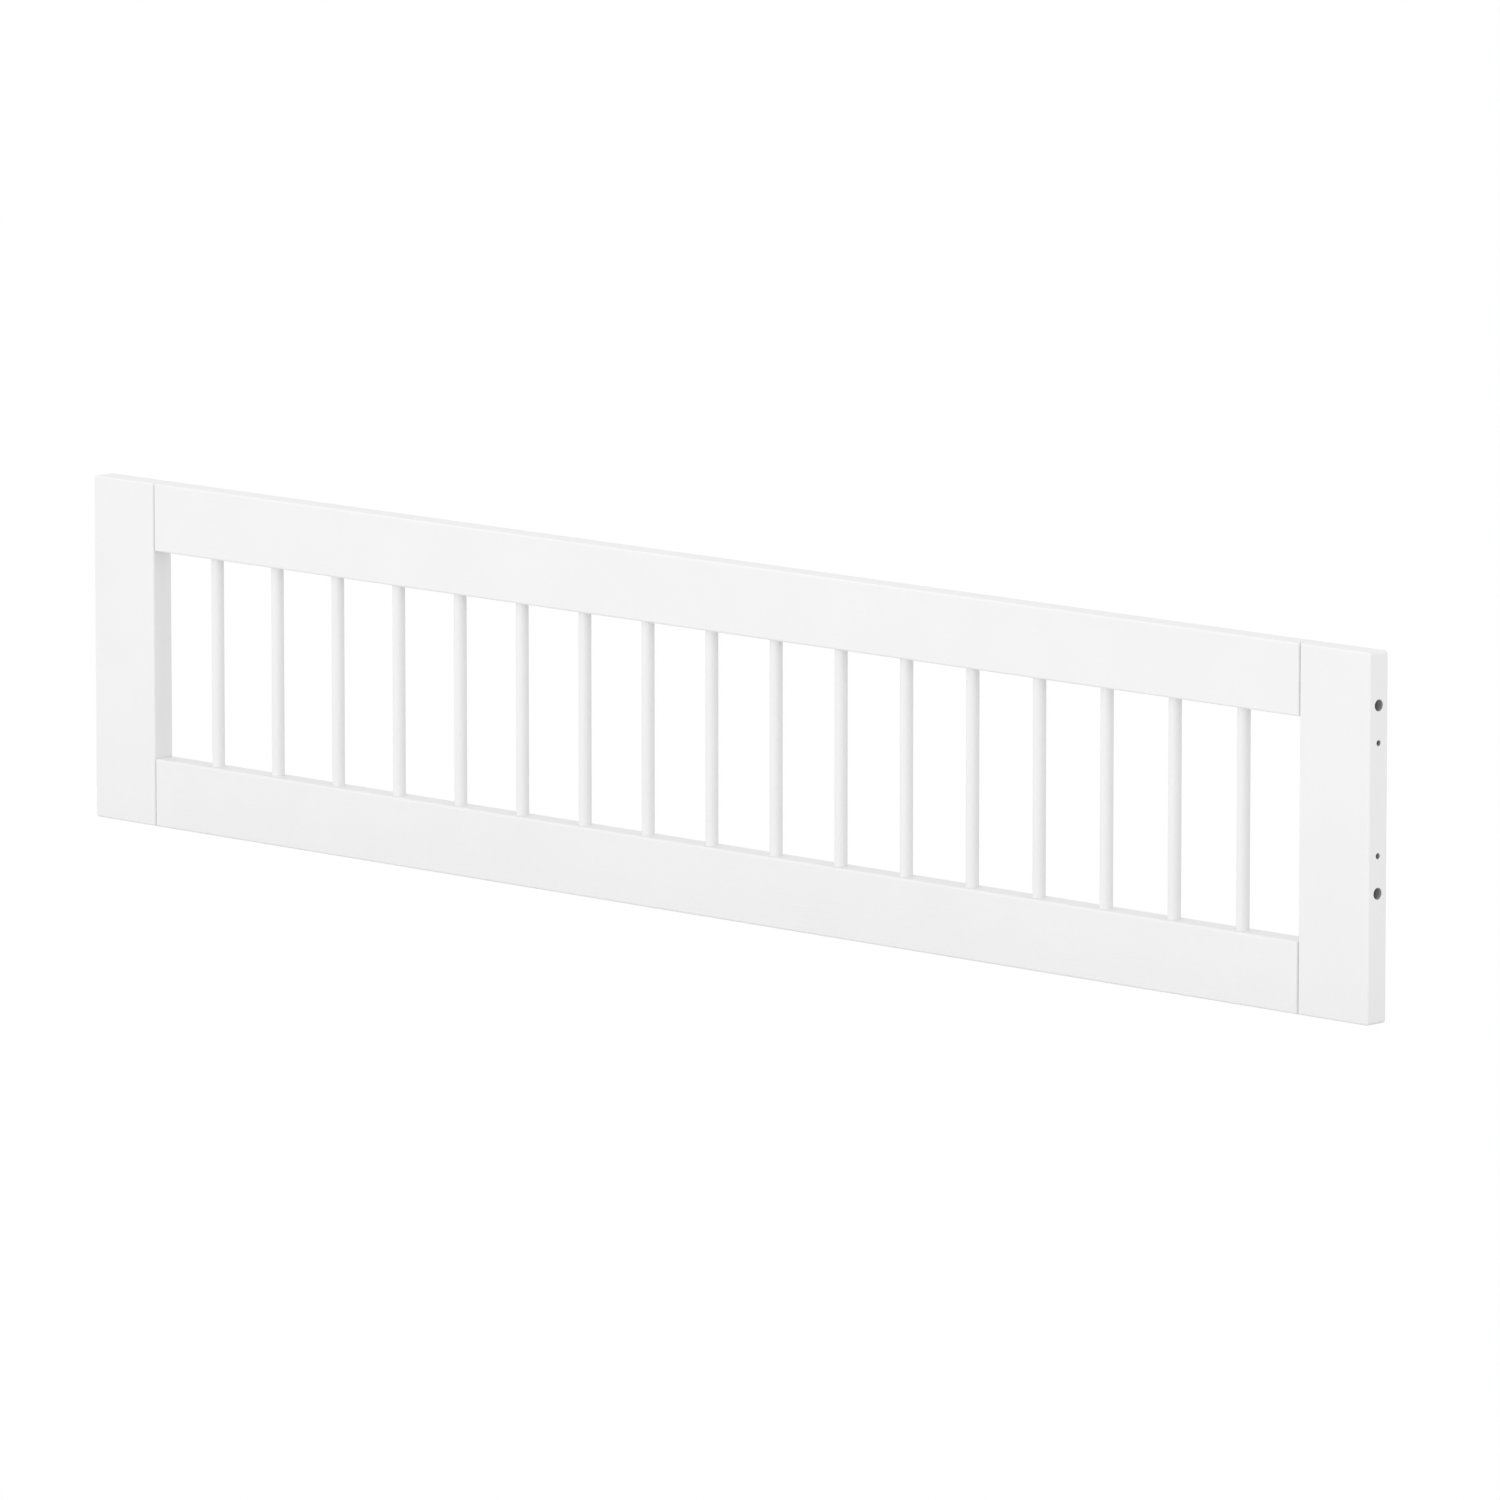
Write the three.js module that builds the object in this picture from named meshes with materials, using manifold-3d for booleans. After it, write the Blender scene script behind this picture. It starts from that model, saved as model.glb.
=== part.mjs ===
// Guard rail for a child's bed: a white barred panel that is bolted between two bed posts.
//
// Two upright stiles carry a top rail and a bottom rail on glued wooden dowels. A row of round
// spindles stands in blind holes in the rails. The outer edge of each stile has four blind holes
// for the fittings that join the panel to the bed.
//
// Units are millimetres. X runs along the panel, Y through its thickness and Z up. The origin is
// at the middle of the bottom edge, and the front faces -Y.

import * as THREE from "three";
import { mergeVertices } from "three/addons/utils/BufferGeometryUtils.js";
import Module from "manifold-3d";

const wasm = await Module();
wasm.setup();

// ---- Driving dimensions -------------------------------------------------------------------

// The whole panel
const LENGTH = 1580; // from end face to end face
const HEIGHT = 317; // from bottom edge to top edge
const THICKNESS = 23;

// The boards
const STILE_WIDTH = 80;
const TOP_RAIL_HEIGHT = 62.5;
const BOTTOM_RAIL_HEIGHT = 62.5;
const EDGE_RADIUS = 2; // roundover along the front and back edges of every board
const CORNER_RADIUS = 3; // the panel's four outer corners, seen from the front

// The spindles, spread so that all the gaps between the stiles are equal
const SPINDLE_COUNT = 17;
const SPINDLE_DIAMETER = 11.5;
const SPINDLE_SEAT_DEPTH = 15; // how far each end goes into its rail
const SPINDLE_END_CHAMFER = 1;

// The dowels between rails and stiles, two side by side in the height of each joint
const DOWEL_DIAMETER = 8;
const DOWEL_LENGTH = 40;
const DOWEL_SPACING = 32;
const DOWEL_END_CHAMFER = 1;

// The holes in the outer edge of each stile, placed on a 32 mm grid down from the top
const BOLT_HOLE_DIAMETER = 10;
const BOLT_HOLE_DEPTH = 36;
const PIN_HOLE_DIAMETER = 5;
const PIN_HOLE_DEPTH = 24;
const FIRST_HOLE_FROM_TOP = 45.5;
const HOLE_GRID = 32;
const BOLT_HOLE_STEPS = [0, 5]; // grid steps below the first hole
const PIN_HOLE_STEPS = [1, 4];

// Clearances
const BUTT_GAP = 0.3; // glue line between a rail's end and the stile
const SEAT_CLEARANCE = 0.3; // all round a spindle or dowel in its hole, and below its end

// How finely round shapes are divided
const ROUND_SIDES = 20;
const SMALL_ROUND_SIDES = 16;
const SMALL_ROUND_BELOW = 10; // the diameter from which a round shape gets the larger count
const EDGE_STEPS = 3;
const CORNER_STEPS = 4;

// ---- Materials ----------------------------------------------------------------------------

const PAINT = { color: 0xf4f4f4, roughness: 0.45, metalness: 0 };
const BEECH = { color: 0xd9b98c, roughness: 0.7, metalness: 0 };

// ---- Worked-out sizes ---------------------------------------------------------------------

const OPENING_LENGTH = LENGTH - 2 * STILE_WIDTH;
const OPENING_BOTTOM = BOTTOM_RAIL_HEIGHT;
const OPENING_TOP = HEIGHT - TOP_RAIL_HEIGHT;
const SPINDLE_GAP = (OPENING_LENGTH - SPINDLE_COUNT * SPINDLE_DIAMETER) / (SPINDLE_COUNT + 1);
const SPINDLE_PITCH = SPINDLE_GAP + SPINDLE_DIAMETER;
const SPINDLE_HOLE_DIAMETER = SPINDLE_DIAMETER + 2 * SEAT_CLEARANCE;
const SPINDLE_HOLE_DEPTH = SPINDLE_SEAT_DEPTH + SEAT_CLEARANCE;
const DOWEL_HOLE_DIAMETER = DOWEL_DIAMETER + 2 * SEAT_CLEARANCE;
const DOWEL_HOLE_DEPTH = (DOWEL_LENGTH - BUTT_GAP) / 2 + SEAT_CLEARANCE;
const STILE_INNER_FACE = LENGTH / 2 - STILE_WIDTH; // distance from the middle of the panel
const JOINT_MIDDLE = STILE_INNER_FACE - BUTT_GAP / 2;
const RAIL_END = STILE_INNER_FACE - BUTT_GAP;

// The middle of each rail, by name, and the two dowel heights in each rail joint
const RAIL_MIDDLES = {
  top: HEIGHT - TOP_RAIL_HEIGHT / 2,
  bottom: BOTTOM_RAIL_HEIGHT / 2,
};

function dowelHeights(railMiddle) {
  return [railMiddle - DOWEL_SPACING / 2, railMiddle + DOWEL_SPACING / 2];
}

// ---- Solid tools --------------------------------------------------------------------------

const MERGE_DISTANCE = 1e-4; // vertices closer than this are one
const DRILL_OVERRUN = 1; // how far a drill starts outside the wood, so that it cuts clean

function sidesFor(diameter) {
  return diameter < SMALL_ROUND_BELOW ? SMALL_ROUND_SIDES : ROUND_SIDES;
}

// A closed geometry as a solid that can be cut.
function toSolid(geometry) {
  const bare = geometry.index ? geometry.toNonIndexed() : geometry.clone();
  bare.deleteAttribute("normal");
  bare.deleteAttribute("uv");
  const merged = mergeVertices(bare, MERGE_DISTANCE);
  const mesh = new wasm.Mesh({
    numProp: 3,
    vertProperties: merged.attributes.position.array,
    triVerts: new Uint32Array(merged.index.array),
  });
  return new wasm.Manifold(mesh);
}

// A solid back as a flat-shaded geometry.
function toGeometry(solid) {
  const mesh = solid.getMesh();
  const shared = new THREE.BufferGeometry();
  shared.setAttribute("position", new THREE.BufferAttribute(mesh.vertProperties, 3));
  shared.setIndex(new THREE.BufferAttribute(mesh.triVerts, 1));
  const flat = shared.toNonIndexed();
  flat.computeVertexNormals();
  return flat;
}

// Turns a geometry that stands along Y so that it lies along the named axis.
function turnTo(geometry, axis) {
  if (axis === "x") {
    return geometry.rotateZ(-Math.PI / 2);
  }
  return geometry.rotateX(Math.PI / 2);
}

// A blind hole along the named axis: mouth is the centre of its mouth, and inward is 1 or -1,
// the way into the wood along that axis.
function drill(solid, { mouth, axis, inward, diameter, depth }) {
  const radius = diameter / 2;
  const length = depth + DRILL_OVERRUN;
  const bit = turnTo(new THREE.CylinderGeometry(radius, radius, length, sidesFor(diameter)), axis);
  const centre = mouth.clone();
  centre[axis] += (inward * (depth - DRILL_OVERRUN)) / 2;
  bit.translate(centre.x, centre.y, centre.z);
  return solid.subtract(toSolid(bit));
}

// A board standing in the XZ plane, extruded through the thickness, with its front and back
// edges rounded over. Its outline is a closed shape drawn with X across and Y for the height.
function board(outline) {
  const core = THICKNESS - 2 * EDGE_RADIUS;
  const geometry = new THREE.ExtrudeGeometry(outline, {
    depth: core,
    steps: 1,
    bevelEnabled: true,
    bevelThickness: EDGE_RADIUS,
    bevelSize: EDGE_RADIUS,
    bevelOffset: -EDGE_RADIUS,
    bevelSegments: EDGE_STEPS,
    curveSegments: CORNER_STEPS,
  });
  geometry.rotateX(Math.PI / 2);
  geometry.translate(0, core / 2, 0);
  return toSolid(geometry);
}

// A round bar along Y, centred on the origin, with chamfered ends.
function chamferedBar(diameter, length, chamfer) {
  const radius = diameter / 2;
  const half = length / 2;
  const profile = [
    new THREE.Vector2(0, -half),
    new THREE.Vector2(radius - chamfer, -half),
    new THREE.Vector2(radius, chamfer - half),
    new THREE.Vector2(radius, half - chamfer),
    new THREE.Vector2(radius - chamfer, half),
    new THREE.Vector2(0, half),
  ];
  return new THREE.LatheGeometry(profile, sidesFor(diameter));
}

function makeMesh(name, geometry, finish) {
  const mesh = new THREE.Mesh(geometry, new THREE.MeshStandardMaterial(finish));
  mesh.name = name;
  return mesh;
}

// ---- Stiles -------------------------------------------------------------------------------

// The right-hand stile's outline: square towards the rails, rounded at the outer corners.
function stileOutline() {
  const inner = STILE_INNER_FACE;
  const outer = LENGTH / 2;
  const arc = CORNER_RADIUS;
  const outline = new THREE.Shape();
  outline.moveTo(inner, 0);
  outline.lineTo(outer - arc, 0);
  outline.absarc(outer - arc, arc, arc, -Math.PI / 2, 0);
  outline.lineTo(outer, HEIGHT - arc);
  outline.absarc(outer - arc, HEIGHT - arc, arc, 0, Math.PI / 2);
  outline.lineTo(inner, HEIGHT);
  outline.closePath();
  return outline;
}

function holeHeight(step) {
  return HEIGHT - FIRST_HOLE_FROM_TOP - step * HOLE_GRID;
}

// Holes for the fittings to the bed post, in the outer edge.
function drillFittingHoles(solid) {
  const sets = [
    { steps: BOLT_HOLE_STEPS, diameter: BOLT_HOLE_DIAMETER, depth: BOLT_HOLE_DEPTH },
    { steps: PIN_HOLE_STEPS, diameter: PIN_HOLE_DIAMETER, depth: PIN_HOLE_DEPTH },
  ];
  let cut = solid;
  for (const { steps, diameter, depth } of sets) {
    for (const step of steps) {
      const mouth = new THREE.Vector3(LENGTH / 2, 0, holeHeight(step));
      cut = drill(cut, { mouth, axis: "x", inward: -1, diameter, depth });
    }
  }
  return cut;
}

// Holes for the dowels, in the inner edge of a stile or the end of a rail.
function drillDowelHoles(solid, faceX, inward, railMiddle) {
  let cut = solid;
  for (const height of dowelHeights(railMiddle)) {
    const mouth = new THREE.Vector3(faceX, 0, height);
    const hole = { axis: "x", diameter: DOWEL_HOLE_DIAMETER, depth: DOWEL_HOLE_DEPTH };
    cut = drill(cut, { mouth, inward, ...hole });
  }
  return cut;
}

function rightStileSolid() {
  let stile = drillFittingHoles(board(stileOutline()));
  for (const railMiddle of Object.values(RAIL_MIDDLES)) {
    stile = drillDowelHoles(stile, STILE_INNER_FACE, 1, railMiddle);
  }
  return stile;
}

function makeStiles() {
  const right = toGeometry(rightStileSolid());
  const left = right.clone().rotateZ(Math.PI); // the stile is the same seen from the back
  return [makeMesh("right_stile", right, PAINT), makeMesh("left_stile", left, PAINT)];
}

// ---- Rails --------------------------------------------------------------------------------

function railOutline(low, high) {
  const outline = new THREE.Shape();
  outline.moveTo(-RAIL_END, low);
  outline.lineTo(RAIL_END, low);
  outline.lineTo(RAIL_END, high);
  outline.lineTo(-RAIL_END, high);
  outline.closePath();
  return outline;
}

function spindleX(index) {
  return (index - (SPINDLE_COUNT - 1) / 2) * SPINDLE_PITCH;
}

// A rail with its spindle holes in the face at seatZ, drilled up (+1) or down (-1).
function makeRail(name, low, high, seatZ, inward) {
  let rail = board(railOutline(low, high));
  for (let index = 0; index < SPINDLE_COUNT; index += 1) {
    const mouth = new THREE.Vector3(spindleX(index), 0, seatZ);
    const hole = { axis: "z", diameter: SPINDLE_HOLE_DIAMETER, depth: SPINDLE_HOLE_DEPTH };
    rail = drill(rail, { mouth, inward, ...hole });
  }
  const middle = (low + high) / 2;
  rail = drillDowelHoles(rail, RAIL_END, -1, middle);
  rail = drillDowelHoles(rail, -RAIL_END, 1, middle);
  return makeMesh(name, toGeometry(rail), PAINT);
}

function makeRails() {
  return [
    makeRail("top_rail", OPENING_TOP, HEIGHT, OPENING_TOP, 1),
    makeRail("bottom_rail", 0, OPENING_BOTTOM, OPENING_BOTTOM, -1),
  ];
}

// ---- Spindles and dowels ------------------------------------------------------------------

function makeSpindles() {
  const length = OPENING_TOP - OPENING_BOTTOM + 2 * SPINDLE_SEAT_DEPTH;
  const middle = (OPENING_TOP + OPENING_BOTTOM) / 2;
  const spindles = [];
  for (let index = 0; index < SPINDLE_COUNT; index += 1) {
    const bar = chamferedBar(SPINDLE_DIAMETER, length, SPINDLE_END_CHAMFER);
    const number = String(index + 1).padStart(2, "0");
    const spindle = makeMesh(`spindle_${number}`, turnTo(bar, "z"), PAINT);
    spindle.position.set(spindleX(index), 0, middle);
    spindles.push(spindle);
  }
  return spindles;
}

function makeDowels() {
  const dowels = [];
  for (const [side, sign] of [["left", -1], ["right", 1]]) {
    for (const [rail, railMiddle] of Object.entries(RAIL_MIDDLES)) {
      const [lower, upper] = dowelHeights(railMiddle);
      for (const [place, height] of [["lower", lower], ["upper", upper]]) {
        const bar = chamferedBar(DOWEL_DIAMETER, DOWEL_LENGTH, DOWEL_END_CHAMFER);
        const dowel = makeMesh(`dowel_${side}_${rail}_${place}`, turnTo(bar, "x"), BEECH);
        dowel.position.set(sign * JOINT_MIDDLE, 0, height);
        dowels.push(dowel);
      }
    }
  }
  return dowels;
}

// ---- The panel ----------------------------------------------------------------------------

const guardRail = new THREE.Group();
guardRail.add(...makeStiles(), ...makeRails(), ...makeSpindles(), ...makeDowels());

export default guardRail;
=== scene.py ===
# %% [markdown]
# # A painted guard rail for a child's bed
# The panel is a piece of frame joinery. Two upright boards, the stiles, carry two lying boards,
# the rails, and a row of round bars, the spindles, stands between the rails. All that shows is
# planed wood under satin white paint. The dowels that hold the corners are bare beech.
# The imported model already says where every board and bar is, so nothing is measured again here:
# each finished piece takes its place and size from the box of the plain piece it stands for. What
# a box can't say, such as a roundover or the place of a bolt hole, is a named value.

# %% Load the fixed frame
import math

import bmesh
import bpy
from mathutils import Matrix, Vector


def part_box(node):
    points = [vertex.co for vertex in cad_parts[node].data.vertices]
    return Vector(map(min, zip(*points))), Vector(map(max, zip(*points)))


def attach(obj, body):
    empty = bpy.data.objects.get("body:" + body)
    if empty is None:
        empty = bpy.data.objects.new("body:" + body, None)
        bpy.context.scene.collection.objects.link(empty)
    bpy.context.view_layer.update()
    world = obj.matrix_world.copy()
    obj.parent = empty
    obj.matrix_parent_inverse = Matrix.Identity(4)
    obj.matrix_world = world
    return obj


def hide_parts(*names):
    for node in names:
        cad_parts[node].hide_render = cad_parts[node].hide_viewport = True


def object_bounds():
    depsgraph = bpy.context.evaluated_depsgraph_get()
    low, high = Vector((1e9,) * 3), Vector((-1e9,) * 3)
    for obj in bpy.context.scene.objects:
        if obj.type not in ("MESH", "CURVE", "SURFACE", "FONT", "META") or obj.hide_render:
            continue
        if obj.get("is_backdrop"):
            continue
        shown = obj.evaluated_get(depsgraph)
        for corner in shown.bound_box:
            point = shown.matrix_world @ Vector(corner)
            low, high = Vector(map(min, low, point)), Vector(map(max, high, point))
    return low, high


MM = 0.001

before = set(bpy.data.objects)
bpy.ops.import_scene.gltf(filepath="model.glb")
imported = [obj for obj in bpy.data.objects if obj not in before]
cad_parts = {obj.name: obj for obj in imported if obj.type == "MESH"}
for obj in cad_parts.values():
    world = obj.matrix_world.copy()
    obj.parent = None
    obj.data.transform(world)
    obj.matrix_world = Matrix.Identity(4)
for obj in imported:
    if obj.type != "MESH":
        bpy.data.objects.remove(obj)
cad_low, cad_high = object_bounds()
print("nodes:", len(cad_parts), "size:", [round(side, 4) for side in cad_high - cad_low])

# %% [markdown]
# ## The camera
# A catalogue view of a long panel is taken from far away with a long lens, because a near camera
# makes the near end look much taller than the far end. Twelve metres and a 327 mm lens leave the
# upright edges almost parallel. The camera could be turned with three angles, but it is easier to
# say where it stands as seen from the panel: an azimuth round it and an elevation above it.

# %% Stand the camera off to the right
AZIMUTH = math.radians(44.8)
ELEVATION = math.radians(8.84)
DISTANCE = 12.0
LENS_MM = 327.5
AIM_RIGHT = 33.5 * MM
AIM_DOWN = 11.2 * MM
CLIP_END = 100


def add_camera():
    """A camera that looks at a point just right of and below the panel's centre."""
    level = math.cos(ELEVATION)
    back = Vector((math.sin(AZIMUTH) * level, -math.cos(AZIMUTH) * level, math.sin(ELEVATION)))
    turn = back.to_track_quat("Z", "Y")
    right = turn @ Vector((1, 0, 0))
    up = turn @ Vector((0, 1, 0))
    aim = (cad_low + cad_high) / 2 + right * AIM_RIGHT - up * AIM_DOWN
    data = bpy.data.cameras.new("camera")
    data.lens = LENS_MM
    data.clip_end = CLIP_END
    camera = bpy.data.objects.new("camera", data)
    camera.rotation_mode = "QUATERNION"
    camera.rotation_quaternion = turn
    camera.location = aim + back * DISTANCE
    bpy.context.scene.collection.objects.link(camera)
    bpy.context.scene.camera = camera
    return camera


camera = add_camera()
print("camera stands at", [round(value, 2) for value in camera.location])

# %% [markdown]
# ## Nodes by one small function
# A material is a graph of nodes. Written out, each node takes a line to make it, a line for each
# setting and a line for each link. One function takes all three at once: its settings are keyword
# arguments, and its inputs are a dictionary that holds either plain values or another node's
# output. Colours are written as hex codes, which are encoded for a screen, so one more function
# turns them to the linear values that a renderer adds and multiplies. What every material needs
# after that is short: two colours blended, a value kept between two limits, a relief and an end.

# %% Colour and node helpers
MIX_FACTOR, MIX_FIRST, MIX_SECOND, MIX_COLOUR = 0, 6, 7, 2  # a colour Mix node's own sockets


def linear(code):
    """A hex colour such as 'E6E6E4' as linear red, green, blue and alpha."""
    channels = [int(code[place : place + 2], 16) / 255 for place in (0, 2, 4)]
    # The sRGB curve: straight near black, and a power above that.
    straight = [c / 12.92 if c <= 0.04045 else ((c + 0.055) / 1.055) ** 2.4 for c in channels]
    return (*straight, 1.0)


def node(tree, kind, inputs=None, **settings):
    """Adds a node with its settings, and feeds its inputs from values or from other outputs."""
    made = tree.nodes.new(kind)
    for name, value in settings.items():
        setattr(made, name, value)
    for name, value in (inputs or {}).items():
        if isinstance(value, bpy.types.NodeSocket):
            tree.links.new(value, made.inputs[name])
        else:
            made.inputs[name].default_value = value
    return made


def empty_material(name):
    """A material without any nodes yet, and the tree that they go in."""
    material = bpy.data.materials.new(name)
    material.use_nodes = True
    material.node_tree.nodes.clear()
    return material, material.node_tree


def blend(tree, factor, first, second):
    """One colour turning into another as the factor goes from 0 to 1."""
    ends = {MIX_FACTOR: factor, MIX_FIRST: first, MIX_SECOND: second}
    return node(tree, "ShaderNodeMix", ends, data_type="RGBA").outputs[MIX_COLOUR]


def between(tree, value, low, high, start=0.0, end=1.0):
    """A value that goes from low to high while the given one goes from start to end."""
    limits = {"Value": value, "From Min": start, "From Max": end, "To Min": low, "To Max": high}
    return node(tree, "ShaderNodeMapRange", limits).outputs["Result"]


def relief(tree, height, depth, below=None):
    """A bump of this depth, laid over another one's normal where that is given."""
    inputs = {"Height": height, "Distance": depth}
    if below is not None:
        inputs["Normal"] = below
    return node(tree, "ShaderNodeBump", inputs).outputs["Normal"]


def end_in_surface(tree, look):
    """Ends a material in a surface with these inputs."""
    shader = node(tree, "ShaderNodeBsdfPrincipled", look)
    node(tree, "ShaderNodeOutputMaterial", {"Surface": shader.outputs["BSDF"]})


print("half grey as linear:", [round(value, 3) for value in linear("808080")])

# %% [markdown]
# ## Satin white paint
# Furniture paint on wood is sprayed on in two or three coats and sanded between them. It is never
# quite even: the colour clouds by a shade over a hand's width, the spray dries with a faint skin
# like orange peel, and the grain of the board below still prints through as long shallow lines.
# A flat colour with a fixed gloss would miss all three and look like plastic. An image could hold
# them, but noise in object space needs no unwrapping, has the same scale on every board, and runs
# on across the whole panel. The grain follows the board, so the same paint is made twice: once
# over upright grain and once over lying grain.

# %% White paint over grain in either direction
PAINT_LIGHT = linear("ECECEC")
PAINT_SHADE = linear("E8E8E8")
CLOUD_SIZE = 90 * MM
PEEL_SIZE = 1.6 * MM  # the width of one dimple in the sprayed skin
PEEL_DEPTH = 0.02 * MM
GRAIN_WIDTH = 1.8 * MM  # from one raised line to the next, across the board
GRAIN_LENGTH = 160 * MM  # how far a line runs before it fades
GRAIN_DEPTH = 0.08 * MM
GRAIN_DETAIL = 3.0  # how many finer layers of noise lie over the coarse one
PAINT_SHINY = 0.38  # the roughness where the grain's noise is lowest
PAINT_DULL = 0.48  # and where it is highest
PAINT_IOR = 1.5


def satin_paint(name, along):
    """Satin white paint on planed wood whose grain runs along axis 0 (X) or 2 (Z)."""
    material, tree = empty_material(name)
    place = node(tree, "ShaderNodeTexCoord").outputs["Object"]
    cloud = node(tree, "ShaderNodeTexNoise", {"Vector": place, "Scale": 1 / CLOUD_SIZE})
    stretch = [1 / GRAIN_WIDTH] * 3
    stretch[along] = 1 / GRAIN_LENGTH
    lines = node(tree, "ShaderNodeMapping", {"Vector": place, "Scale": stretch})
    drawn = {"Vector": lines.outputs["Vector"], "Scale": 1.0, "Detail": GRAIN_DETAIL}
    grain = node(tree, "ShaderNodeTexNoise", drawn).outputs["Fac"]
    peel = node(tree, "ShaderNodeTexNoise", {"Vector": place, "Scale": 1 / PEEL_SIZE})
    print_through = relief(tree, grain, GRAIN_DEPTH)
    look = {
        "Base Color": blend(tree, cloud.outputs["Fac"], PAINT_LIGHT, PAINT_SHADE),
        "Roughness": between(tree, grain, PAINT_SHINY, PAINT_DULL),
        "IOR": PAINT_IOR,
        "Normal": relief(tree, peel.outputs["Fac"], PEEL_DEPTH, print_through),
    }
    end_in_surface(tree, look)
    return material


paint_upright = satin_paint("satin_white_paint_upright_grain", along=2)
paint_lying = satin_paint("satin_white_paint_lying_grain", along=0)
print("paints:", paint_upright.name, paint_lying.name)

# %% [markdown]
# ## The drilled holes and the beech dowels
# A drilled hole's wall is given a mid grey, well under the paint's white: painted shade, which
# darkens the hole inside, with the rings that the drill left over it. Bore walls catch so little
# light that only their tone and those rings are seen. A Wave texture draws the rings. At scale 1
# its bands turn by twenty radians in each metre, so a ring's width has to be divided out of that.
# Beech is pink-brown and fine. Its mark is the fleck: short dark dashes, under a millimetre wide
# and a few millimetres long, that run with the grain. Noise stretched along the dowel gives the
# soft bands, and a Voronoi pattern stretched the same way gives the dashes.

# %% Bore grey with painted shade, and bare beech
# The bore's two greys are painted shade: they make a hole's wall darker than the white paint.
BORE_SHADE_PALE = linear("B6B6B5")
BORE_SHADE_DEEP = linear("A3A3A1")
TOOL_MARK = 0.8 * MM  # from one ring of the drill to the next
TOOL_DEPTH = 0.05 * MM
TOOL_WOBBLE = 1.0
WAVE_TURN = 20
STAIN_SIZE = 3 * MM
BORE_SHINY = 0.7
BORE_DULL = 0.9
BEECH_PALE = linear("D9B48A")
BEECH_DEEP = linear("BE8F60")
FLECK_COLOUR = linear("8E603A")
FLECK_WIDTH = 0.9 * MM
FLECK_LENGTH = 5 * MM
FLECK_CORE = 0.12  # how far its full colour reaches, as a share of a Voronoi cell
FLECK_EDGE = 0.3  # and where it has faded out
FLECK_STRENGTH = 0.7
BAND_SCALE = 0.4  # how many bands lie in the space of one fleck
BAND_DETAIL = 4.0
BEECH_FUZZ = 0.05 * MM
BEECH_ROUGHNESS = 0.7


def painted_shade_bore(name):
    """The wall of a blind hole along X: a grey that paints the shade inside, ringed by the drill.
    """
    material, tree = empty_material(name)
    place = node(tree, "ShaderNodeTexCoord").outputs["Object"]
    cloud = {"Vector": place, "Scale": 1 / STAIN_SIZE}
    stain = node(tree, "ShaderNodeTexNoise", cloud).outputs["Fac"]
    scale = math.tau / WAVE_TURN / TOOL_MARK
    drawn = {"Vector": place, "Scale": scale, "Distortion": TOOL_WOBBLE}
    bands = {"wave_type": "BANDS", "bands_direction": "X"}
    rings = node(tree, "ShaderNodeTexWave", drawn, **bands).outputs["Fac"]
    look = {
        "Base Color": blend(tree, stain, BORE_SHADE_PALE, BORE_SHADE_DEEP),
        "Roughness": between(tree, stain, BORE_SHINY, BORE_DULL),
        "Normal": relief(tree, rings, TOOL_DEPTH),
    }
    end_in_surface(tree, look)
    return material


def bare_beech(name):
    """Unfinished beech whose grain runs along X."""
    material, tree = empty_material(name)
    place = node(tree, "ShaderNodeTexCoord").outputs["Object"]
    stretch = (1 / FLECK_LENGTH, 1 / FLECK_WIDTH, 1 / FLECK_WIDTH)
    fibres = node(tree, "ShaderNodeMapping", {"Vector": place, "Scale": stretch})
    along = fibres.outputs["Vector"]
    drawn = {"Vector": along, "Scale": BAND_SCALE, "Detail": BAND_DETAIL}
    bands = node(tree, "ShaderNodeTexNoise", drawn).outputs["Fac"]
    cells = node(tree, "ShaderNodeTexVoronoi", {"Vector": along, "Scale": 1.0})
    from_core = cells.outputs["Distance"]
    fleck = between(tree, from_core, FLECK_STRENGTH, 0.0, start=FLECK_CORE, end=FLECK_EDGE)
    wood = blend(tree, bands, BEECH_PALE, BEECH_DEEP)
    look = {
        "Base Color": blend(tree, fleck, wood, FLECK_COLOUR),
        "Roughness": BEECH_ROUGHNESS,
        "Normal": relief(tree, bands, BEECH_FUZZ),
    }
    end_in_surface(tree, look)
    return material


# The bore walls get a grey that paints the shade inside the holes.
bore_painted_shade = painted_shade_bore("drilled_bore_painted_shade")
beech = bare_beech("bare_beech_fluted")
print("hidden finishes:", bore_painted_shade.name, beech.name)

# %% [markdown]
# ## From bmesh to finished piece
# Every piece ends the same way: its faces are turned outwards, they are shaded smooth, and edges
# sharper than a third of a right angle are marked sharp. That alone would still bend the light
# over the big flat faces, because a corner's normal is the average of all its faces. The Weighted
# Normal modifier lets the largest face win, so flats stay flat and only the roundovers turn.
# The same function then hangs the new piece on the root body and hides the plain piece it stands
# for.

# %% Turn a bmesh into a piece of the panel
SHARP_ANGLE = math.radians(30)


def finish_piece(name, bm, materials, node_name):
    """Makes the object from bm, hangs it on the root body and hides the plain node."""
    bmesh.ops.recalc_face_normals(bm, faces=bm.faces)
    mesh = bpy.data.meshes.new(name)
    bm.to_mesh(mesh)
    bm.free()
    mesh.shade_smooth()
    mesh.set_sharp_from_angle(angle=SHARP_ANGLE)
    for material in materials:
        mesh.materials.append(material)
    piece = bpy.data.objects.new(name, mesh)
    bpy.context.scene.collection.objects.link(piece)
    flats = piece.modifiers.new("flats_stay_flat", "WEIGHTED_NORMAL")
    flats.keep_sharp = True
    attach(piece, "root")
    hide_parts(node_name)
    return piece


print("sharp above", round(math.degrees(SHARP_ANGLE)), "degrees")

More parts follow.
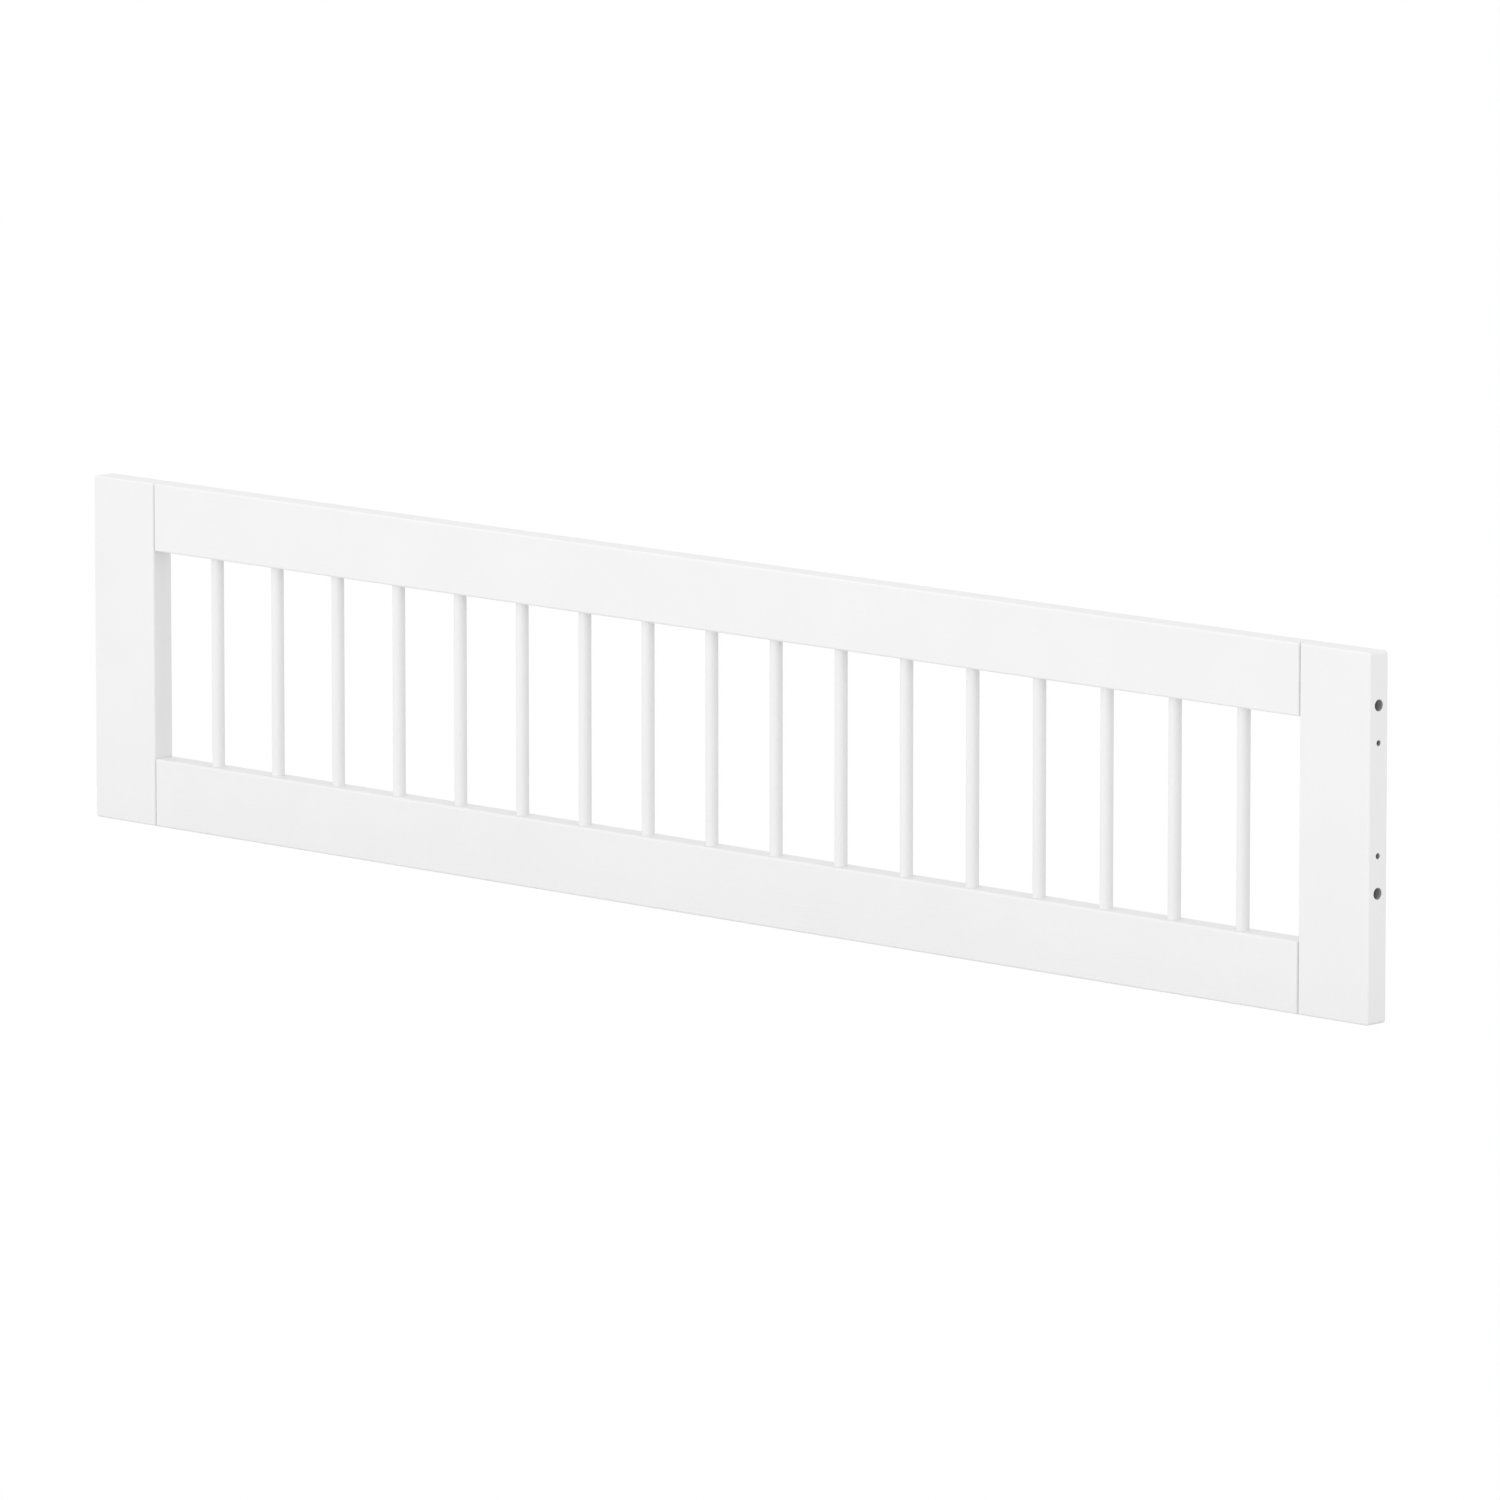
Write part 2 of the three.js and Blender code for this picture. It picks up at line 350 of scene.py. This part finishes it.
# %% [markdown]
# ## A board with eased edges
# A planed board is a box whose long edges are rounded over with a router, because a sharp arris
# sheds its paint and hurts a child's hands. A bevel with several segments and a profile of a half
# is that same quarter round. The panel's four outer corners are also rounded as seen from the
# front, and those are bevelled first: the second bevel then runs round them as a router would.
# The other way, a box with subdivision, would round the flats as well.

# %% Boards by two bevels
EDGE_RADIUS = 2 * MM
CORNER_RADIUS = 3 * MM
EDGE_STEPS = 6
CORNER_STEPS = 8
QUARTER_ROUND = 0.5  # the bevel profile of a circle
TOUCH = 1e-6  # points closer than this are the same


def bevel(bm, edges, radius, steps):
    """Rounds edges to a quarter circle."""
    bmesh.ops.bevel(
        bm,
        geom=edges,
        offset=radius,
        segments=steps,
        profile=QUARTER_ROUND,
        affect="EDGES",
        material=-1,
        clamp_overlap=False,
    )


def edges_where(bm, test):
    """The edges whose two ends both pass the test."""
    return [edge for edge in bm.edges if all(test(vert.co) for vert in edge.verts)]


def board(low, high, outer_x=None):
    """A box from low to high with its front and back edges eased.
    Where outer_x is given, the two corners on that side are rounded first."""
    bm = bmesh.new()
    bmesh.ops.create_cube(bm, size=1)
    bmesh.ops.scale(bm, vec=high - low, verts=bm.verts)
    bmesh.ops.translate(bm, vec=(low + high) / 2, verts=bm.verts)
    if outer_x is not None:
        side = edges_where(bm, lambda co: abs(co.x - outer_x) < TOUCH)
        across = [edge for edge in side if abs(edge.verts[0].co.y - edge.verts[1].co.y) > TOUCH]
        bevel(bm, across, CORNER_RADIUS, CORNER_STEPS)
    front_and_back = edges_where(bm, lambda co: abs(co.y - low.y) < TOUCH)
    front_and_back += edges_where(bm, lambda co: abs(co.y - high.y) < TOUCH)
    bevel(bm, front_and_back, EDGE_RADIUS, EDGE_STEPS)
    return bm


sample = board(Vector((0, 0, 0)), Vector((0.1, 0.02, 0.3)), outer_x=0.1)
print("faces on one eased board:", len(sample.faces))
sample.free()

# %% [markdown]
# ## Blind holes without a boolean
# A boolean cut is quick, but it leaves long thin triangles and can fail where faces meet. A round
# hole in a flat face can be built by hand in four steps. Two straight cuts across that face make
# a short strip in it. The strip is taken out, and the space between its rim and a ring of edges is
# filled again. The ring is then pushed into the wood, first a little inwards for the broken edge
# that a sharp drill and a touch of sandpaper leave, then straight to the full depth, and last to a
# point, as the tip of the drill leaves it. In a long row of holes the cuts go right through the
# board, because cuts that stop at the face leave dozens of loose points along its edge, and the
# thin faces beside it would then be split into slivers.

# %% Drill into a flat face
RIM = 0.4 * MM  # how far the mouth of a hole is broken
DRILL_POINT = 1.5 * MM
HOLE_STEPS = 32
CUT_MARGIN = 2.5 * MM  # from the hole to the straight cuts on each side
PAINT_MATERIAL, BORE_MATERIAL = 0, 1  # the order of a board's two materials
PARALLEL = 0.999  # the least that two directions multiply to if they are taken as one
AXES = {"x": Vector((1, 0, 0)), "y": Vector((0, 1, 0)), "z": Vector((0, 0, 1))}


def face_at(bm, point, normal):
    """The flat face with this normal whose extent holds the point."""
    for face in bm.faces:
        off_plane = abs((face.verts[0].co - point).dot(normal))
        if face.normal.dot(normal) < PARALLEL or off_plane > TOUCH:
            continue
        spans = [[vert.co[axis] for vert in face.verts] for axis in range(3)]
        if all(min(s) - TOUCH <= point[a] <= max(s) + TOUCH for a, s in enumerate(spans)):
            return face
    raise ValueError(f"no flat face at {point}")


def cut_strip(bm, mouth, outward, across, reach, through=False):
    """Two straight cuts round the mouth, at reach on each side of it.
    They cross its flat face alone, or go right through the board."""
    for side in (-reach, reach):
        if through:
            geom = [*bm.faces, *bm.edges, *bm.verts]
        else:
            face = face_at(bm, mouth, outward)
            geom = [face, *face.edges, *face.verts]
        bmesh.ops.bisect_plane(bm, geom=geom, plane_co=mouth + across * side, plane_no=across)
        bm.normal_update()


def push_ring(bm, ring, move, centre, scale):
    """Extrudes a ring of edges by move and scales it about the centre.
    Returns the new ring, its vertices and the faces between the two rings."""
    made = bmesh.ops.extrude_edge_only(bm, edges=ring)["geom"]
    verts = [item for item in made if isinstance(item, bmesh.types.BMVert)]
    bmesh.ops.translate(bm, vec=move, verts=verts)
    about = Matrix.Translation(-(centre + move))
    bmesh.ops.scale(bm, vec=(scale, scale, scale), space=about, verts=verts)
    faces = [item for item in made if isinstance(item, bmesh.types.BMFace)]
    edges = [item for item in made if isinstance(item, bmesh.types.BMEdge)]
    new_ring = [edge for edge in edges if all(vert in verts for vert in edge.verts)]
    return new_ring, verts, faces


def drill(bm, mouth, outward, across, radius, depth, through=False):
    """A blind hole from its mouth into the board, with the second material on its wall."""
    cut_strip(bm, mouth, outward, across, radius + CUT_MARGIN, through)
    face = face_at(bm, mouth, outward)
    rim_edges = list(face.edges)
    bmesh.ops.delete(bm, geom=[face], context="FACES_ONLY")
    turn = Matrix.Translation(mouth) @ outward.to_track_quat("Z", "Y").to_matrix().to_4x4()
    circle = bmesh.ops.create_circle(
        bm, segments=HOLE_STEPS, radius=radius + RIM, matrix=turn, cap_ends=False
    )
    ring = list(dict.fromkeys(edge for vert in circle["verts"] for edge in vert.link_edges))
    bmesh.ops.triangle_fill(bm, edges=rim_edges + ring, use_beauty=True, normal=outward)
    pushes = (
        (RIM, radius / (radius + RIM), PAINT_MATERIAL),
        (depth - RIM, 1, BORE_MATERIAL),
        (DRILL_POINT, 0, BORE_MATERIAL),
    )
    at = mouth
    for step, scale, coat in pushes:
        ring, verts, faces = push_ring(bm, ring, -outward * step, at, scale)
        at = at - outward * step
        for face in faces:
            face.material_index = coat
    bmesh.ops.remove_doubles(bm, verts=verts, dist=TOUCH)
    bm.normal_update()


sample = board(Vector((0, 0, 0)), Vector((0.1, 0.023, 0.3)))
drill(sample, Vector((0.1, 0.0115, 0.2)), AXES["x"], AXES["z"], 5 * MM, 36 * MM)
print("open edges after drilling:", sum(not edge.is_manifold for edge in sample.edges))
sample.free()

# %% [markdown]
# ## The stiles
# The stile carries the rails on dowels in its inner edge, and it meets the bed post with its
# outer edge, where a drilling jig has left four holes on the 32 mm grid of furniture fittings:
# wide holes for the bed bolts at the ends of the row, and narrow ones for locating pins between
# them. The two stiles are one board turned about, so one function makes both.

# %% Make both stiles
FIRST_HOLE_FROM_TOP = 45.5 * MM
HOLE_GRID = 32 * MM
BOLT_HOLE = {"radius": 5 * MM, "depth": 36 * MM}
PIN_HOLE = {"radius": 2.5 * MM, "depth": 24 * MM}
FITTINGS = {0: BOLT_HOLE, 1: PIN_HOLE, 4: PIN_HOLE, 5: BOLT_HOLE}  # by steps down the grid
dowel_low, dowel_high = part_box("dowel_left_top_lower")
DOWEL_RADIUS = (dowel_high.z - dowel_low.z) / 2
DOWEL_CLEARANCE = 0.15 * MM
DOWEL_BORE = DOWEL_RADIUS + DOWEL_CLEARANCE
GLUE_LINE = 0.05 * MM  # what is left between a rail's end and the stile once it is clamped


def dowel_centres(side):
    """The middles of the four dowels on one side, from the plain dowels' boxes."""
    names = sorted(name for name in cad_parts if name.startswith(f"dowel_{side}_"))
    return [sum(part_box(name), Vector()) / 2 for name in names]


def dowel_reach(side, face_x):
    """How far the dowels on this side go past the plane at face_x, with their clearance."""
    low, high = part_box(f"dowel_{side}_top_lower")
    return max(high.x, -low.x) - abs(face_x) + DOWEL_CLEARANCE


def make_stile(side, sign):
    """One stile: sign is +1 on the right and -1 on the left."""
    plain = f"{side}_stile"
    low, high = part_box(plain)
    outer_x, inner_x = (high.x, low.x) if sign > 0 else (low.x, high.x)
    bm = board(low, high, outer_x)
    out = AXES["x"] * sign
    for step, hole in FITTINGS.items():
        mouth = Vector((outer_x, 0, high.z - FIRST_HOLE_FROM_TOP - step * HOLE_GRID))
        drill(bm, mouth, out, AXES["z"], **hole)
    for centre in dowel_centres(side):
        mouth = Vector((inner_x, 0, centre.z))
        drill(bm, mouth, -out, AXES["z"], DOWEL_BORE, dowel_reach(side, inner_x))
    return finish_piece(f"{plain}_painted", bm, [paint_upright, bore_painted_shade], plain)


stiles = [make_stile("left", -1), make_stile("right", 1)]
print("stile faces:", [len(piece.data.polygons) for piece in stiles])

# %% [markdown]
# ## The rails
# A rail is the same eased board laid flat. Its ends are butted against the stiles and glued. Both
# the rail's end and the stile's edge are eased, and the rail's shoulder is cut back a little more
# at the front and the back, so the two meet only along the middle. That leaves a V with a dark
# line in it, which hides the crack that paint would get at a flush joint. Two cuts across the end
# face and a small push of the strip between them make the shoulder. The spindles stand in a row
# of blind holes along the inner edge.

# %% Make both rails
SPINDLE_NODES = sorted(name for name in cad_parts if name.startswith("spindle_"))
first_low, first_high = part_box(SPINDLE_NODES[0])
SPINDLE_RADIUS = (first_high.x - first_low.x) / 2
SPINDLE_CLEARANCE = 0.1 * MM
SHADOW_GAP = 0.9 * MM
SHOULDER_REACH = 7.2 * MM  # from the middle of the rail's thickness to where the shoulder starts


def undercut_end(bm, end, outward):
    """Raises a strip along the middle of a rail's end until only the glue line is left."""
    cut_strip(bm, end, outward, AXES["y"], SHOULDER_REACH)
    strip = face_at(bm, end, outward)
    made = bmesh.ops.extrude_discrete_faces(bm, faces=[strip])["faces"]
    verts = [vert for face in made for vert in face.verts]
    bmesh.ops.translate(bm, vec=outward * (SHADOW_GAP - GLUE_LINE), verts=verts)
    bm.normal_update()


def make_rail(plain, seat_up):
    """A rail. seat_up is +1 where the spindles stand on it and -1 where they hang from it."""
    low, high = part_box(plain)
    low.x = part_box("left_stile")[1].x + SHADOW_GAP
    high.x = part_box("right_stile")[0].x - SHADOW_GAP
    bm = board(low, high)
    seat_z = high.z if seat_up > 0 else low.z
    for name in SPINDLE_NODES:
        bar_low, bar_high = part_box(name)
        mouth = Vector(((bar_low.x + bar_high.x) / 2, 0, seat_z))
        depth = seat_z - bar_low.z if seat_up > 0 else bar_high.z - seat_z
        radius = SPINDLE_RADIUS + SPINDLE_CLEARANCE
        drill(bm, mouth, AXES["z"] * seat_up, AXES["x"], radius, depth, through=True)
    for side, end_x, sign in (("left", low.x, -1), ("right", high.x, 1)):
        outward = AXES["x"] * sign
        undercut_end(bm, Vector((end_x, 0, (low.z + high.z) / 2)), outward)
        for centre in dowel_centres(side):
            if low.z < centre.z < high.z:
                mouth = Vector((end_x + sign * (SHADOW_GAP - GLUE_LINE), 0, centre.z))
                reach = (dowel_high.x - dowel_low.x) / 2 + DOWEL_CLEARANCE
                drill(bm, mouth, outward, AXES["z"], DOWEL_BORE, reach)
    return finish_piece(f"{plain}_painted", bm, [paint_lying, bore_painted_shade], plain)


rails = [make_rail("top_rail", -1), make_rail("bottom_rail", 1)]
print("rail faces:", [len(piece.data.polygons) for piece in rails])

# %% [markdown]
# ## The spindles
# A spindle is a round bar, so half its outline turned about its axis gives all of it. Spin does
# that with a few vertices. The ends are chamfered so that they find their holes under glue, and
# where the bar leaves the rail the paint has built up into a tiny fillet, which closes the ring
# between bar and hole.

# %% Spin the spindles
SPINDLE_CHAMFER = 1 * MM
FILLET = 0.6 * MM
FILLET_STEPS = 4
SPIN_STEPS = 40


def fillet_points(face_z, away):
    """Half outline of the paint fillet on the rail's face at face_z, from the rail away."""
    points = []
    for step in range(FILLET_STEPS + 1):
        angle = step / FILLET_STEPS * math.pi / 2
        bulge = FILLET * (1 - math.sin(angle))
        rise = FILLET * (1 - math.cos(angle))
        points.append((SPINDLE_RADIUS + bulge, face_z + away * rise))
    return points


def spindle_outline(low_z, high_z, seat_low, seat_high):
    """Radius and height of every point of the half outline, from the bottom up."""
    inner = SPINDLE_RADIUS - SPINDLE_CHAMFER
    start = [(0, low_z), (inner, low_z), (SPINDLE_RADIUS, low_z + SPINDLE_CHAMFER)]
    start += [(SPINDLE_RADIUS, seat_low - RIM), *fillet_points(seat_low, 1)]
    end = [(0, high_z), (inner, high_z), (SPINDLE_RADIUS, high_z - SPINDLE_CHAMFER)]
    end += [(SPINDLE_RADIUS, seat_high + RIM), *fillet_points(seat_high, -1)]
    return start + end[::-1]


def make_spindle(plain):
    """One spindle, spun about its own axis."""
    low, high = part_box(plain)
    seat_low, seat_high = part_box("bottom_rail")[1].z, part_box("top_rail")[0].z
    centre = (low + high) / 2
    bm = bmesh.new()
    outline = spindle_outline(low.z, high.z, seat_low, seat_high)
    verts = [bm.verts.new((centre.x + radius, centre.y, z)) for radius, z in outline]
    edges = [bm.edges.new(pair) for pair in zip(verts, verts[1:])]
    bmesh.ops.spin(
        bm,
        geom=verts + edges,
        cent=centre,
        axis=AXES["z"],
        angle=math.tau,
        steps=SPIN_STEPS,
        use_merge=True,
    )
    bmesh.ops.remove_doubles(bm, verts=bm.verts, dist=TOUCH)
    return finish_piece(f"{plain}_painted", bm, [paint_upright], plain)


spindles = [make_spindle(name) for name in SPINDLE_NODES]
print("spindles:", len(spindles), "of", round(2 * SPINDLE_RADIUS / MM, 1), "mm")

# %% [markdown]
# ## The dowels
# Joints between rail and stile are held by fluted beech dowels. The flutes let the air and the
# spare glue out while the joint is pressed home. A cone of even width, with an edge for each ridge
# and each hollow, is a plain bar, and pulling every second edge towards the axis flutes it. The
# ends are chamfered by pushing out the end faces and making them smaller.

# %% Flute the dowels
FLUTES = 20
FLUTE_DEPTH = 0.35 * MM
DOWEL_CHAMFER = 1 * MM


def turn_of(edge, centre):
    """How far round the X axis through the centre an edge starts."""
    start = edge.verts[0].co
    return math.atan2(start.y - centre.y, start.z - centre.z)


def make_dowel(plain):
    """A fluted dowel along X with chamfered ends."""
    low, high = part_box(plain)
    centre = (low + high) / 2
    length = high.x - low.x
    along = Matrix.Translation(centre) @ Matrix.Rotation(math.pi / 2, 4, "Y")
    bm = bmesh.new()
    bmesh.ops.create_cone(
        bm,
        segments=2 * FLUTES,
        radius1=DOWEL_RADIUS,
        radius2=DOWEL_RADIUS,
        depth=length - 2 * DOWEL_CHAMFER,
        cap_ends=True,
        matrix=along,
    )
    lengthwise = [edge for edge in bm.edges if abs(edge.verts[0].co.x - edge.verts[1].co.x) > TOUCH]
    lengthwise.sort(key=lambda edge: turn_of(edge, centre))
    hollows = [vert for edge in lengthwise[::2] for vert in edge.verts]
    inwards = 1 - FLUTE_DEPTH / DOWEL_RADIUS
    about = Matrix.Translation(-centre)
    bmesh.ops.scale(bm, vec=(1, inwards, inwards), space=about, verts=hollows)
    bm.normal_update()
    caps = [face for face in bm.faces if abs(face.normal.x) > PARALLEL]
    for cap in caps:
        out = Vector((math.copysign(DOWEL_CHAMFER, cap.normal.x), 0, 0))
        made = bmesh.ops.extrude_discrete_faces(bm, faces=[cap])["faces"]
        tip = [vert for face in made for vert in face.verts]
        bmesh.ops.translate(bm, vec=out, verts=tip)
        narrow = 1 - DOWEL_CHAMFER / DOWEL_RADIUS
        bmesh.ops.scale(bm, vec=(1, narrow, narrow), space=about, verts=tip)
    return finish_piece(f"{plain}_fluted", bm, [beech], plain)


DOWEL_NODES = sorted(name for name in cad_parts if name.startswith("dowel_"))
dowels = [make_dowel(name) for name in DOWEL_NODES]
print("dowels:", len(dowels), "faces each:", len(dowels[0].data.polygons))

# %% [markdown]
# ## The floor
# A guard rail hangs between the posts of a bed, so it is shown off the ground, over a pale studio
# floor. A floor right under it would catch a hard shadow and cut the picture in two. This one
# lies well below and glows like a light table. Its strength is exactly one, full white and no
# more, because a brighter one would spill over the edges of the thin spindles and eat them away.
# It is clear from below, for a look from under the panel, and it gives no light itself. A matt
# grey card, a little longer than the panel and a few fingers below it, is what the lower half of
# the boards sees instead of the sky, so they grow a shade darker towards their bottom edge.

# %% Lay a glowing floor and a grey card
FLOOR_DROP = 0.45
FLOOR_SIZE = (40, 40)
FLOOR_GLOW = 1.0
CARD_DROP = 0.04
CARD_DEPTH = 1.0
CARD_OVERHANG = 0.12
CARD_LIGHT = linear("D7D7D7")
CARD_SHADE = linear("D3D3D3")
CARD_MOTTLE = 0.2
CARD_ROUGHNESS = 0.9
MIX_BY, MIX_ONE, MIX_OTHER = 0, 1, 2  # a Mix Shader node's own sockets


def clear_from_below(tree, shader):
    """Ends a material in a sheet that shows the shader above and nothing below."""
    clear = node(tree, "ShaderNodeBsdfTransparent").outputs["BSDF"]
    below = node(tree, "ShaderNodeNewGeometry").outputs["Backfacing"]
    sides = {MIX_BY: below, MIX_ONE: shader, MIX_OTHER: clear}
    sheet = node(tree, "ShaderNodeMixShader", sides)
    node(tree, "ShaderNodeOutputMaterial", {"Surface": sheet.outputs["Shader"]})


def glowing_floor():
    """The white of a light table."""
    material, tree = empty_material("glowing_floor")
    glow = node(tree, "ShaderNodeEmission", {"Color": (1, 1, 1, 1), "Strength": FLOOR_GLOW})
    clear_from_below(tree, glow.outputs["Emission"])
    return material


def matt_card():
    """Grey pasteboard, faintly mottled."""
    material, tree = empty_material("matt_grey_pasteboard")
    place = node(tree, "ShaderNodeTexCoord").outputs["Object"]
    mottle = node(tree, "ShaderNodeTexNoise", {"Vector": place, "Scale": 1 / CARD_MOTTLE})
    colour = blend(tree, mottle.outputs["Fac"], CARD_LIGHT, CARD_SHADE)
    look = {"Base Color": colour, "Roughness": CARD_ROUGHNESS}
    shader = node(tree, "ShaderNodeBsdfPrincipled", look).outputs["BSDF"]
    clear_from_below(tree, shader)
    return material


def add_sheet(name, size, drop, material):
    """A level sheet below the panel, of this size along X and Y."""
    bm = bmesh.new()
    bmesh.ops.create_grid(bm, x_segments=1, y_segments=1, size=0.5)  # one metre from side to side
    bmesh.ops.scale(bm, vec=(*size, 1), verts=bm.verts)
    bmesh.ops.translate(bm, vec=(0, 0, cad_low.z - drop), verts=bm.verts)
    mesh = bpy.data.meshes.new(name)
    bm.to_mesh(mesh)
    bm.free()
    mesh.materials.append(material)
    sheet = bpy.data.objects.new(name, mesh)
    bpy.context.scene.collection.objects.link(sheet)
    sheet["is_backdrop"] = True
    return sheet


floor = add_sheet("floor", FLOOR_SIZE, FLOOR_DROP, glowing_floor())
floor.visible_diffuse = False
floor.visible_glossy = False
card_length = cad_high.x - cad_low.x + 2 * CARD_OVERHANG
card = add_sheet("card", (card_length, CARD_DEPTH), CARD_DROP, matt_card())
card.visible_camera = False
print("floor lies", FLOOR_DROP, "m below the panel, card", CARD_DROP)

# %% [markdown]
# ## The light
# White goods on white need light from everywhere, or the edges that turn away go grey and heavy.
# Nearly all of it is a white sky that dims below the horizon, where a floor would be. A sky alone
# leaves every upright side alike, so three soft lights add a little. A wide one far in front,
# level with the panel, makes the front the brightest side. A narrow strip straight above lights
# the top rail and leaves the bottom rail in its shade. A small box at the right lifts only the
# end with the holes, because the stile shades the spindles from it. The lights are kept out of
# reflections, or the satin paint would flash white when the panel is seen straight on.

# %% Light the panel
SKY_SEEN = 1.0
SKY_LIGHT = 0.955  # from the horizon up
SKY_BELOW = 0.72  # straight below
FRONT_SIZE = (5.0, 1.0)
FRONT_AT = Vector((0, -4.0, 0.4))
FRONT_WATTS = 45
TOP_SIZE = (4.0, 0.2)
TOP_AT = Vector((0, 0, 2.6))
TOP_WATTS = 5.8
SIDE_SIZE = (0.3, 0.3)
SIDE_AT = Vector((2.8, 0, 0.16))
SIDE_WATTS = 2.6


def add_sky():
    """A white sky: one strength for the eye, and one that dims downwards for its light."""
    world = bpy.data.worlds.new("white_sky")
    world.use_nodes = True
    tree = world.node_tree
    tree.nodes.clear()
    towards = node(tree, "ShaderNodeTexCoord").outputs["Generated"]
    upwards = node(tree, "ShaderNodeSeparateXYZ", {"Vector": towards}).outputs["Z"]
    given = between(tree, upwards, SKY_BELOW, SKY_LIGHT, start=-1, end=0)
    seen = node(tree, "ShaderNodeLightPath").outputs["Is Camera Ray"]
    strength = between(tree, seen, given, SKY_SEEN)
    sky = node(tree, "ShaderNodeBackground", {"Color": (1, 1, 1, 1), "Strength": strength})
    node(tree, "ShaderNodeOutputWorld", {"Surface": sky.outputs["Background"]})
    bpy.context.scene.world = world


def add_softbox(name, at, size, watts, target):
    """A rectangular soft light that faces its target and is not seen itself."""
    data = bpy.data.lights.new(name, "AREA")
    data.shape = "RECTANGLE"
    data.size, data.size_y = size
    data.energy = watts
    softbox = bpy.data.objects.new(name, data)
    softbox.location = at
    softbox.rotation_mode = "QUATERNION"
    softbox.rotation_quaternion = (at - target).to_track_quat("Z", "Y")
    softbox.visible_camera = False
    softbox.visible_glossy = False
    bpy.context.scene.collection.objects.link(softbox)


panel_middle = (cad_low + cad_high) / 2
front_target = Vector((FRONT_AT.x, 0, panel_middle.z))
add_sky()
add_softbox("front_light", FRONT_AT, FRONT_SIZE, FRONT_WATTS, front_target)
add_softbox("top_light", TOP_AT, TOP_SIZE, TOP_WATTS, panel_middle)
add_softbox("side_light", SIDE_AT, SIDE_SIZE, SIDE_WATTS, panel_middle)
bpy.context.scene.view_settings.view_transform = "Standard"
print("sky lights with", SKY_LIGHT, "above and", SKY_BELOW, "straight below")

# %% [markdown]
# ## The size of the finished model
# A finished model should fill the same box as the plain one. How far the finished pieces reach
# past the plain box's high corner is printed in millimetres.

# %% Print how far the finished pieces grow
visual_low, visual_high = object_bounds()
growth = [round((after - before) * 1000, 3) for after, before in zip(visual_high, cad_high)]
print("growth at the high corner, in mm:", growth)
